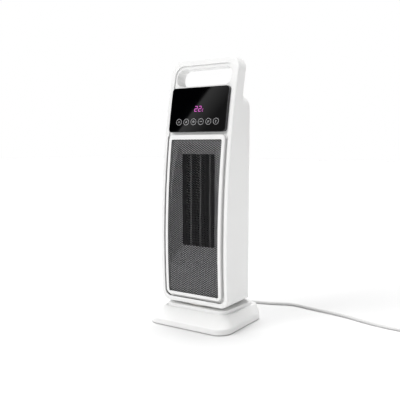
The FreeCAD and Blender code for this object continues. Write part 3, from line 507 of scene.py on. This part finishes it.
relief_low, relief_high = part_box("plug_relief")
relief_centre = (relief_low + relief_high) / 2
relief_length = relief_high.y - relief_low.y
relief = ribbed_profile(relief_length, RELIEF_RADIUS, TIP_RADIUS, 5, BORE)
relief_start = (relief_centre.x, relief_low.y, relief_centre.z)
points, faces = close_lathe(lathe(relief, relief_start, (0, 1, 0), ROUND_COUNT))
plug_sleeve = make_piece("plug_sleeve", points, faces, "base", finishes["plug_plastic"])
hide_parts("plug_relief")

# %% [markdown]
# The plug is a round moulding for round sockets, with a notch at the top and the bottom and a waist
# to hold. Its section is a circle cut off by the notches, carried along the plug's length while its
# size follows a rounded profile.

# %% The plug's body
AROUND = 96
NOTCH_HEIGHT = 0.0150
NOTCH_HALF = 0.0052
NOTCH_EDGE = 0.0012


def plug_shell(low, high, relief_radius):
    """Sections along Y: radius r(u) in the round part, limited to a flat where the notches are.

    At angle a a point is r * (cos a, sin a); inside the notch's width its height stops at the notch."""
    length = high.y - low.y
    big = (high.x - low.x) / 2
    stations = [(0.0, big - 0.004), (0.0, big - 0.0012), (0.0006, big - 0.0004), (0.0014, big),
                (0.0120, big), (0.0132, big - 0.0004), (0.0140, big - 0.0016), (0.0160, 0.0150),
                (0.0190, 0.0138), (0.0220, 0.0124), (0.0260, 0.0106), (0.0295, 0.0093),
                (length, relief_radius)]
    a = np.linspace(0, 2 * np.pi, AROUND, endpoint=False)
    along, radius = np.array(stations).T
    x = radius[:, None] * np.cos(a)
    z = radius[:, None] * np.sin(a)
    notch = 1.0 - smooth_step((np.abs(x) - NOTCH_HALF) / NOTCH_EDGE)
    limit = NOTCH_HEIGHT * notch + big * (1.0 - notch)
    z = np.clip(z, -limit, limit)
    centre_x, centre_z = (low.x + high.x) / 2, (low.z + high.z) / 2
    y = np.broadcast_to(low.y + along[:, None], x.shape)
    points = np.stack([centre_x + x, y, centre_z + z], axis=-1).reshape(-1, 3)
    faces = grid_faces(len(stations), AROUND, wrap=True).tolist()
    faces.append(list(range(AROUND))[::-1])
    faces.append([(len(stations) - 1) * AROUND + i for i in range(AROUND)])
    return points, faces


plug_low, plug_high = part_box("plug_body")
points, faces = plug_shell(plug_low, plug_high, RELIEF_RADIUS)
plug = make_piece("plug_shell", points, faces, "base", finishes["plug_plastic"])
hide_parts("plug_body")

# %% [markdown]
# ## The bowed front
# Seen from the side, the whole front is one shallow arc. Everything that follows the front, such as
# the mesh, the key marks and the digits, asks one function for its y at a height and a depth.

# %% The bow's formula
BOW_RADIUS = 1370.0
BOW_HEIGHT = 155.0
BOW_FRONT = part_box("front_bezel")[0].y / MM


def bow_y(z, depth):
    """Y in millimetres of the arc at height z, depth behind the frontmost surface."""
    r = BOW_RADIUS - depth
    return BOW_FRONT + BOW_RADIUS - np.sqrt(r**2 - (np.asarray(z) - BOW_HEIGHT) ** 2)


print("front at the floor and at the top:", np.round(bow_y([40, 500], 0.0), 1))

# %% [markdown]
# ## The outlet mesh
# The mesh is expanded steel: a sheet is slit and stretched, so that its holes become diamonds in
# staggered rows. A pattern in a material would look flat from the side and would not let the dark
# element show through, so the strands are real: each diamond cell is a ring of eight faces whose
# outer edge stands a little proud, plus the walls of its hole and a back.

# %% Expanded mesh
MESH_PITCH_X, MESH_PITCH_Z = 6.6, 4.0
STRAND = 1.15
MESH_THICK = 0.6
MESH_DEPTH = 1.15       # the sheet lies this far behind the frontmost surface
CHAMFER = 0.28
BACK_CHAMFER = 0.2
SIDE_MARGIN = 1.0
ACUTE_CUT = 0.90        # a hole's two sharp corners are drawn in to this share of their reach


def mesh_sheet(low, high):
    """Staggered diamonds. A cell's corners are half a pitch from its centre; the hole is the same
    diamond made smaller, its acute corners cut off; both follow the bow."""
    half = np.array([MESH_PITCH_X, MESH_PITCH_Z]) / 2
    slope = half[0] * half[1] / math.hypot(*half)
    shrink = 1.0 - STRAND / (2 * slope)
    corner = np.array([(1, 0), (0.5, 0.5), (0, 1), (-0.5, 0.5),
                       (-1, 0), (-0.5, -0.5), (0, -1), (0.5, -0.5)])
    outer = corner * half
    inner = corner * half * shrink
    inner[[0, 4], 0] *= ACUTE_CUT
    rows = np.arange(int((high[1] - low[1]) / half[1]) - 1)
    columns = np.arange(int((high[0] - low[0]) / MESH_PITCH_X))
    row, column = [g.ravel() for g in np.meshgrid(rows, columns, indexing="ij")]
    span = (len(columns) - 0.5) * MESH_PITCH_X
    start = (low[0] + high[0]) / 2 - span / 2 + half[0] / 2
    centre = np.stack([start + column * MESH_PITCH_X + (row % 2) * half[0],
                       low[1] + (row + 1) * half[1]], axis=1)
    keep = (centre[:, 0] > low[0] + SIDE_MARGIN) & (centre[:, 0] < high[0] - SIDE_MARGIN)
    centre = centre[keep]
    flat = np.stack([centre[:, None] + outer, centre[:, None] + inner,
                     centre[:, None] + inner, centre[:, None] + outer], axis=1)
    flat[..., 0] = np.clip(flat[..., 0], low[0], high[0])
    flat[..., 1] = np.clip(flat[..., 1], low[1], high[1])
    depth = np.array([0.0, CHAMFER, MESH_THICK - BACK_CHAMFER, MESH_THICK])[None, :, None]
    depth = np.broadcast_to(depth, flat.shape[:3])
    y = bow_y(flat[..., 1], MESH_DEPTH + depth)
    points = np.stack([flat[..., 0], y, flat[..., 1]], axis=-1)
    ring = grid_faces(4, 8, wrap=True)
    faces = (np.arange(len(centre))[:, None, None] * 32 + ring[None]).reshape(-1, 4)
    return points.reshape(-1, 3) * MM, faces


grille_low, grille_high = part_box("front_grille")
points, faces = mesh_sheet((grille_low.x / MM, grille_low.z / MM),
                           (grille_high.x / MM, grille_high.z / MM))
mesh_piece = make_piece("outlet_mesh", points, faces, "tower", finishes["grille_metal"],
                        smooth=False)
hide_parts("front_grille")

# %% [markdown]
# ## Marks on the panel
# The six keys are printed on the back of a glossy cover: a thin circle with a small sign in it. A
# printed line is a stroke of constant width, so one function sweeps a thin flat section along any
# path on the bow, and each sign is a few paths.

# %% Strokes on the bow
def stroke(path, width, near, thick=0.05, closed=False):
    """A flat ribbon with a rectangular section along a path of (x, z) in millimetres.

    The side step is the path's direction turned by a right angle, averaged between neighbours."""
    path = np.asarray(path, float)
    if closed:
        ahead, behind = np.roll(path, -1, axis=0), np.roll(path, 1, axis=0)
    else:
        ahead = np.vstack([path[1:], 2 * path[-1] - path[-2]])
        behind = np.vstack([2 * path[0] - path[1], path[:-1]])
    way = ahead - behind
    way /= np.linalg.norm(way, axis=1, keepdims=True)
    side = np.stack([-way[:, 1], way[:, 0]], axis=1)
    half = np.broadcast_to(np.asarray(width, float), len(path))[:, None] / 2
    left, right = path + side * half, path - side * half
    flat = np.stack([left, right, right, left], axis=1)
    depth = near + np.array([0.0, 0.0, thick, thick])[None]
    y = bow_y(flat[..., 1], depth)
    points = np.stack([flat[..., 0], y, flat[..., 1]], axis=-1).reshape(-1, 3) * MM
    count = len(path)
    faces = grid_faces(count, 4, wrap=True)[:, ::-1].tolist()
    if closed:
        last = (count - 1) * 4
        faces += [[last + c, last + (c + 1) % 4, (c + 1) % 4, c][::-1] for c in range(4)]
    else:
        faces += [[0, 1, 2, 3], [(count - 1) * 4 + i for i in (3, 2, 1, 0)]]
    return points, faces


def arc(centre, radius, start, end, count=24):
    """Points of a circle's arc from one angle in degrees to another."""
    a = np.radians(np.linspace(start, end, count))
    return np.stack([centre[0] + radius * np.cos(a), centre[1] + radius * np.sin(a)], axis=1)


GLASS_DEPTH = -3.0
KEY_Z = 381.0
KEY_PITCH = 16.3
KEY_SHIFT = 1.2         # the row of keys isn't quite centred
KEY_RADIUS = 5.6
LINE = 0.5
SIGN_SCALE = 0.62
SIGN_LINE = 0.8         # of a ring's line
INK = 0.05              # how far a printed or lit mark stands proud


def key_signs(x, z):
    """Paths of the six signs, left to right: power, heat, timer, swing, warmer, cooler."""
    wave = np.linspace(-1.0, 1.0, 15)
    power = [arc((x[0], z), 2.3, -235, 55), [(x[0], z + 0.6), (x[0], z + 3.0)]]
    heat = [np.stack([x[1] + s + 0.7 * np.sin(np.pi * wave), z + 2.8 * wave], axis=1)
            for s in (-1.8, 0, 1.8)]
    timer = [arc((x[2], z), 2.9, 0, 360), [(x[2], z + 2.0), (x[2], z), (x[2] + 1.4, z - 0.9)]]
    swing = [arc((x[3], z + 4.2), 5.0, -125, -55)]
    for side in (-1.0, 1.0):
        swing.append([(x[3] + side * 4.0, z + 1.6), (x[3] + side * 2.9, z + 0.1),
                      (x[3] + side * 1.2, z + 0.6)])

    def bulb(c):
        return [arc((c, z - 2.0), 1.2, -240, 60), [(c - 0.6, z - 1.0), (c - 0.6, z + 2.8)],
                [(c + 0.6, z - 1.0), (c + 0.6, z + 2.8)]]

    warmer = bulb(x[4] - 1.2)
    warmer += [[(x[4] + 0.9, z + 1.2), (x[4] + 3.3, z + 1.2)], [(x[4] + 2.1, z), (x[4] + 2.1, z + 2.4)]]
    cooler = bulb(x[5] - 1.2) + [[(x[5] + 0.9, z + 1.2), (x[5] + 3.3, z + 1.2)]]
    return power + heat + timer + swing + warmer + cooler


key_x = [(i - 2.5) * KEY_PITCH + KEY_SHIFT for i in range(6)]
key_path = key_signs([x / SIGN_SCALE for x in key_x], KEY_Z / SIGN_SCALE)
near = GLASS_DEPTH - INK
strokes = [stroke(arc((x, KEY_Z), KEY_RADIUS, 0, 357, 60), LINE, near, closed=True) for x in key_x]
strokes += [stroke(np.array(path) * SIGN_SCALE, LINE * SIGN_LINE, near) for path in key_path]
finishes["key_print"] = make_finish("key_print", (0.54, 0.54, 0.55), 0.4, depth=0.002)
points, faces = join(strokes)
make_piece("key_marks", points, faces, "tower", finishes["key_print"], smooth=False)

# %% [markdown]
# The display has two digits of seven segments, and a small unit sign beside them made of the same
# segments. A segment is a stroke that comes to a point at both ends, so it uses the same ribbon with
# a width that changes along it.

# %% Lit digits
DIGIT_LOW, DIGIT_HIGH = 400.0, 409.3
DIGIT_WIDE = 5.3
DIGIT_PLACES = (-7.0, 1.5)
UNIT_PLACE, UNIT_SCALE = 9.8, 0.42
SLANT = 0.08
BAR_THICK = 1.35


def segment(start, end, width=BAR_THICK):
    """Six-sided bar from start to end, pointed at both ends."""
    start, end = np.array(start, float), np.array(end, float)
    step = (end - start) / np.linalg.norm(end - start) * width * 0.5
    return stroke([start + step * 0.15, start + step, end - step, end - step * 0.15],
                  [0.15, width, width, 0.15], GLASS_DEPTH - INK)


def digit(left, lit, scale=1.0):
    """The bars of one digit whose names are in lit. It leans: x grows by SLANT for each step up."""
    height = (DIGIT_HIGH - DIGIT_LOW) * scale
    wide = DIGIT_WIDE * scale
    mid = DIGIT_LOW + height / 2
    top = DIGIT_LOW + height

    def at(x, z):
        return left + x + SLANT * (z - DIGIT_LOW), z

    bars = {
        "top": (at(0, top), at(wide, top)),
        "upper_right": (at(wide, top), at(wide, mid)),
        "lower_right": (at(wide, mid), at(wide, DIGIT_LOW)),
        "bottom": (at(0, DIGIT_LOW), at(wide, DIGIT_LOW)),
        "lower_left": (at(0, mid), at(0, DIGIT_LOW)),
        "upper_left": (at(0, top), at(0, mid)),
        "middle": (at(0, mid), at(wide, mid)),
    }
    return [segment(*bars[name], width=BAR_THICK * scale**0.5) for name in lit]


TWO = ("top", "upper_right", "middle", "lower_left", "bottom")
UNIT = ("upper_left", "lower_left", "bottom", "top")
lit_bars = digit(DIGIT_PLACES[0], TWO) + digit(DIGIT_PLACES[1], TWO)
lit_bars += digit(UNIT_PLACE, UNIT, scale=UNIT_SCALE)
points, faces = join(lit_bars)
make_piece("lit_digits", points, faces, "tower", display, smooth=False)

# %% [markdown]
# The rocker at the back carries the two marks that every mains rocker has: a bar on the end that is
# pressed for on, and a ring on the other. The rocker's two faces lean 12 degrees each way, and the
# whole rocker rests turned by 9 degrees, so each mark lies in a plane found from those two angles.

# %% Marks on the rocker
REST_TURN = math.radians(9.0)
FACE_LEAN = math.atan2(1.6, 7.4)    # each face rises 1.6 mm over its 7.4 mm
FACE_MIDDLE = (4.0, 3.7)            # out from the pivot, and up or down from it
MARK_HALF = 1.5
MARK_LINE = 0.5


def plane_stroke(path, width, origin, across, up, lift, thick, closed=False):
    """The flat ribbon of a path, carried to a plane: x goes along across, z along up."""
    points, faces = stroke(path, width, 0.0, thick=0.0, closed=closed)
    flat = points[:, [0, 2]] / MM
    normal = np.cross(across, up)
    layer = np.tile([0.0, 0.0, 1.0, 1.0], len(flat) // 4)
    place = flat[:, :1] * across + flat[:, 1:] * up + (lift - layer[:, None] * thick) * normal
    return (origin + place) * MM, faces


def rocker_marks():
    """A bar on the upper face and a ring on the lower one, standing 0.05 mm proud."""
    joint = next(j for j in frame["joints"] if j["name"] == "rocker_tilt")
    pivot = np.array(joint["pos_m"]) / MM
    cos, sin = math.cos(REST_TURN), math.sin(REST_TURN)
    turn = np.array([[1, 0, 0], [0, cos, -sin], [0, sin, cos]])
    left = np.array([-1.0, 0.0, 0.0])
    bar = [(0.0, -MARK_HALF), (0.0, MARK_HALF)]
    ring = arc((0.0, 0.0), MARK_HALF, 0, 350, 36)
    parts = []
    for side, path, closed in ((1.0, bar, False), (-1.0, ring, True)):
        up = np.array([0.0, math.sin(FACE_LEAN * side), math.cos(FACE_LEAN * side)])
        origin = pivot + turn @ np.array([0.0, FACE_MIDDLE[0], side * FACE_MIDDLE[1]])
        parts.append(plane_stroke(path, MARK_LINE, origin, left, turn @ up, INK, 2 * INK, closed))
    return join(parts)


points, faces = rocker_marks()
make_piece("rocker_marks", points, faces, "rocker", finishes["key_print"],
           smooth=False)

# %% [markdown]
# ## The heating core
# Between the ceramic bars lies a thin aluminium strip folded into a zigzag, which carries the heat
# into the air. A zigzag is a polyline with one point at each fold, pushed back through the core's
# depth and given the strip's thickness.

# %% Corrugated strips
FOLD_PITCH = 2.6
END_GAP = 0.0004
BAR_WIDTH = 0.0032      # the gap that the strips leave for a ceramic bar
LANES = 4
STRIP_THICK = 0.0003


def zigzag_strip(x0, x1, low, high):
    """Folds at alternate sides, FOLD_PITCH apart in height, from the front of the core to its rear."""
    count = int((high.z - low.z) / (FOLD_PITCH * MM))
    z = np.linspace(low.z + END_GAP, high.z - END_GAP, count)
    x = np.where(np.arange(count) % 2 == 0, x0, x1)
    front = np.stack([x, np.full(count, low.y), z], axis=1)
    back = front + [0.0, high.y - low.y, 0.0]
    points = np.stack([front, back], axis=1).reshape(-1, 3)
    return points, grid_faces(count, 2)


fin_low, fin_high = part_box("ptc_fins")
lanes = np.linspace(fin_low.x, fin_high.x, LANES + 1)
strips = []
for lane in range(LANES):
    left = lanes[lane] + (BAR_WIDTH / 2 if lane else 0.0)
    right = lanes[lane + 1] - (BAR_WIDTH / 2 if lane < LANES - 1 else 0.0)
    strips.append(zigzag_strip(left, right, fin_low, fin_high))
points, faces = join(strips)
fins = make_piece("corrugated_fins", points, faces, "tower", finishes["fin_metal"],
                  smooth=False)
thickness = fins.modifiers.new("strip", "SOLIDIFY")
thickness.thickness = STRIP_THICK
thickness.offset = 0.0
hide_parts("ptc_fins")

# %% [markdown]
# ## The studio
# The heater stands on a plain pale floor under a white sky. Three far, soft lamps shape it: the
# strongest from above, one from the front left, and a weak one that fills the right side. Glossy
# reflections don't show the lamps, and the sky is brighter to the camera than it is as a light.

# %% Floor, sky and lamps
FLOOR_HALF = 12.0       # metres
FLOOR_TONE = 0.70


def make_floor():
    """A plain square far larger than the view."""
    across = np.array([(-1, -1), (1, -1), (1, 1), (-1, 1)]) * FLOOR_HALF
    mesh = bpy.data.meshes.new("floor")
    mesh.from_pydata([(x, y, 0.0) for x, y in across.tolist()], [], [(0, 1, 2, 3)])
    floor = bpy.data.objects.new("floor", mesh)
    mesh.materials.append(make_finish("floor_paint", (FLOOR_TONE,) * 3, 0.6, grain=2.0, depth=0.01,
                                      tone=0.002))
    bpy.context.scene.collection.objects.link(floor)


def make_sky(seen, lighting):
    """A white sky, as bright as seen for the camera and as bright as lighting for everything else."""
    world = bpy.data.worlds.new("sky")
    world.use_nodes = True
    tree = world.node_tree
    background = tree.nodes["Background"]
    background.inputs["Color"].default_value = (1.0, 1.0, 1.0, 1.0)
    ray = tree.nodes.new("ShaderNodeLightPath")
    extra = math_node(tree, "MULTIPLY", ray.outputs["Is Camera Ray"], seen - lighting)
    tree.links.new(math_node(tree, "ADD", extra, lighting), background.inputs["Strength"])
    bpy.context.scene.world = world


def make_lamp(name, way, spread, power):
    """Light from far away along a direction, as soft as a source spread degrees wide."""
    data = bpy.data.lights.new(name, "SUN")
    data.angle = math.radians(spread)
    data.energy = power
    lamp = bpy.data.objects.new(name, data)
    tilt = math.atan2(math.hypot(way[0], way[1]), way[2])
    lamp.rotation_euler = (tilt, 0.0, math.atan2(way[0], -way[1]))
    lamp.visible_glossy = False
    bpy.context.scene.collection.objects.link(lamp)


make_floor()
make_sky(seen=1.0, lighting=0.38)
make_lamp("above", way=(-0.1, 0.16, 1.0), spread=26.0, power=2.9)
make_lamp("front", way=(-0.72, -1.0, 0.75), spread=34.0, power=1.9)
make_lamp("side", way=(1.0, 0.1, 0.30), spread=60.0, power=0.72)
bpy.context.scene.view_settings.view_transform = "Standard"

# %% [markdown]
# A glossy black panel looks like whatever it mirrors. Seen from the front, it mirrors what stands
# along MIRROR_WAY, so two cards hang there: a black one, and a pale one whose glow fades away from
# the line where they meet. That slanting line is the diagonal reflection that makes the panel read
# as glass. Only glossy reflections show the cards.

# %% Cards for the panel to mirror
PANEL_MIDDLE = np.array([0.0, -0.032, 0.403])
MIRROR_WAY = np.array([-0.551, -0.754, 0.356])
CARD_RIGHT = np.array([-0.807, 0.590, 0.0])
CARD_UP = np.array([0.210, 0.288, 0.934])
CARD_AWAY = 1.5
CARD_HALF = 0.60
EDGE_HIGH, EDGE_LOW = (-0.0885, CARD_HALF), (0.133, -CARD_HALF)
GLOW_NEAR, GLOW_FAR, GLOW_REACH = 0.95, 0.20, 0.11


def make_card(name, corners, glow, way):
    """A flat card that only reflections see.

    Its glow runs evenly from the first value to the second between the two places given as
    distances along a direction: glow is (first, second, place of first, place of second)."""
    mesh = bpy.data.meshes.new(name)
    mesh.from_pydata(corners, [], [tuple(range(len(corners)))])
    card = bpy.data.objects.new(name, mesh)
    material = bpy.data.materials.new(name)
    material.use_nodes = True
    tree = material.node_tree
    shader = tree.nodes["Principled BSDF"]
    shader.inputs["Base Color"].default_value = (0, 0, 0, 1)
    shader.inputs["Roughness"].default_value = 1.0
    shader.inputs["Specular IOR Level"].default_value = 0.0
    shader.inputs["Emission Strength"].default_value = 1.0
    along = add(tree, "ShaderNodeVectorMath", operation="DOT_PRODUCT")
    tree.links.new(tree.nodes.new("ShaderNodeTexCoord").outputs["Object"], along.inputs[0])
    along.inputs[1].default_value = way
    share = tree.nodes.new("ShaderNodeMapRange")
    tree.links.new(along.outputs["Value"], share.inputs["Value"])
    share.inputs["From Min"].default_value = glow[2]
    share.inputs["From Max"].default_value = glow[3]
    first, second = (glow[0],) * 3, (glow[1],) * 3
    glowing = mix_colour(tree, share.outputs["Result"], first, second)
    tree.links.new(glowing, shader.inputs["Emission Color"])
    mesh.materials.append(material)
    bpy.context.scene.collection.objects.link(card)
    card.visible_camera = False
    card.visible_diffuse = False
    card.visible_shadow = False
    card.visible_transmission = False


def card_corner(right, up):
    """A place in metres from its distances along a card's own right and up."""
    return PANEL_MIDDLE + CARD_AWAY * MIRROR_WAY + right * CARD_RIGHT + up * CARD_UP


high_end, low_end = card_corner(*EDGE_HIGH), card_corner(*EDGE_LOW)
edge_way = np.array(EDGE_HIGH) - np.array(EDGE_LOW)
edge_way /= np.linalg.norm(edge_way)
across = -edge_way[1] * CARD_RIGHT + edge_way[0] * CARD_UP
edge_at = float(across @ high_end)
dark_corners = [card_corner(CARD_HALF, -CARD_HALF), card_corner(CARD_HALF, CARD_HALF), high_end, low_end]
pale_corners = [low_end, high_end, card_corner(-CARD_HALF, CARD_HALF), card_corner(-CARD_HALF, -CARD_HALF)]
print("the cards meet along", round(float(np.linalg.norm(high_end - low_end)), 2), "m")
make_card("dark_card", list(map(tuple, dark_corners)), (0.0, 0.0, 0.0, 1.0), across)
make_card("pale_card", list(map(tuple, pale_corners)),
          (GLOW_NEAR, GLOW_FAR, edge_at, edge_at + GLOW_REACH), across)
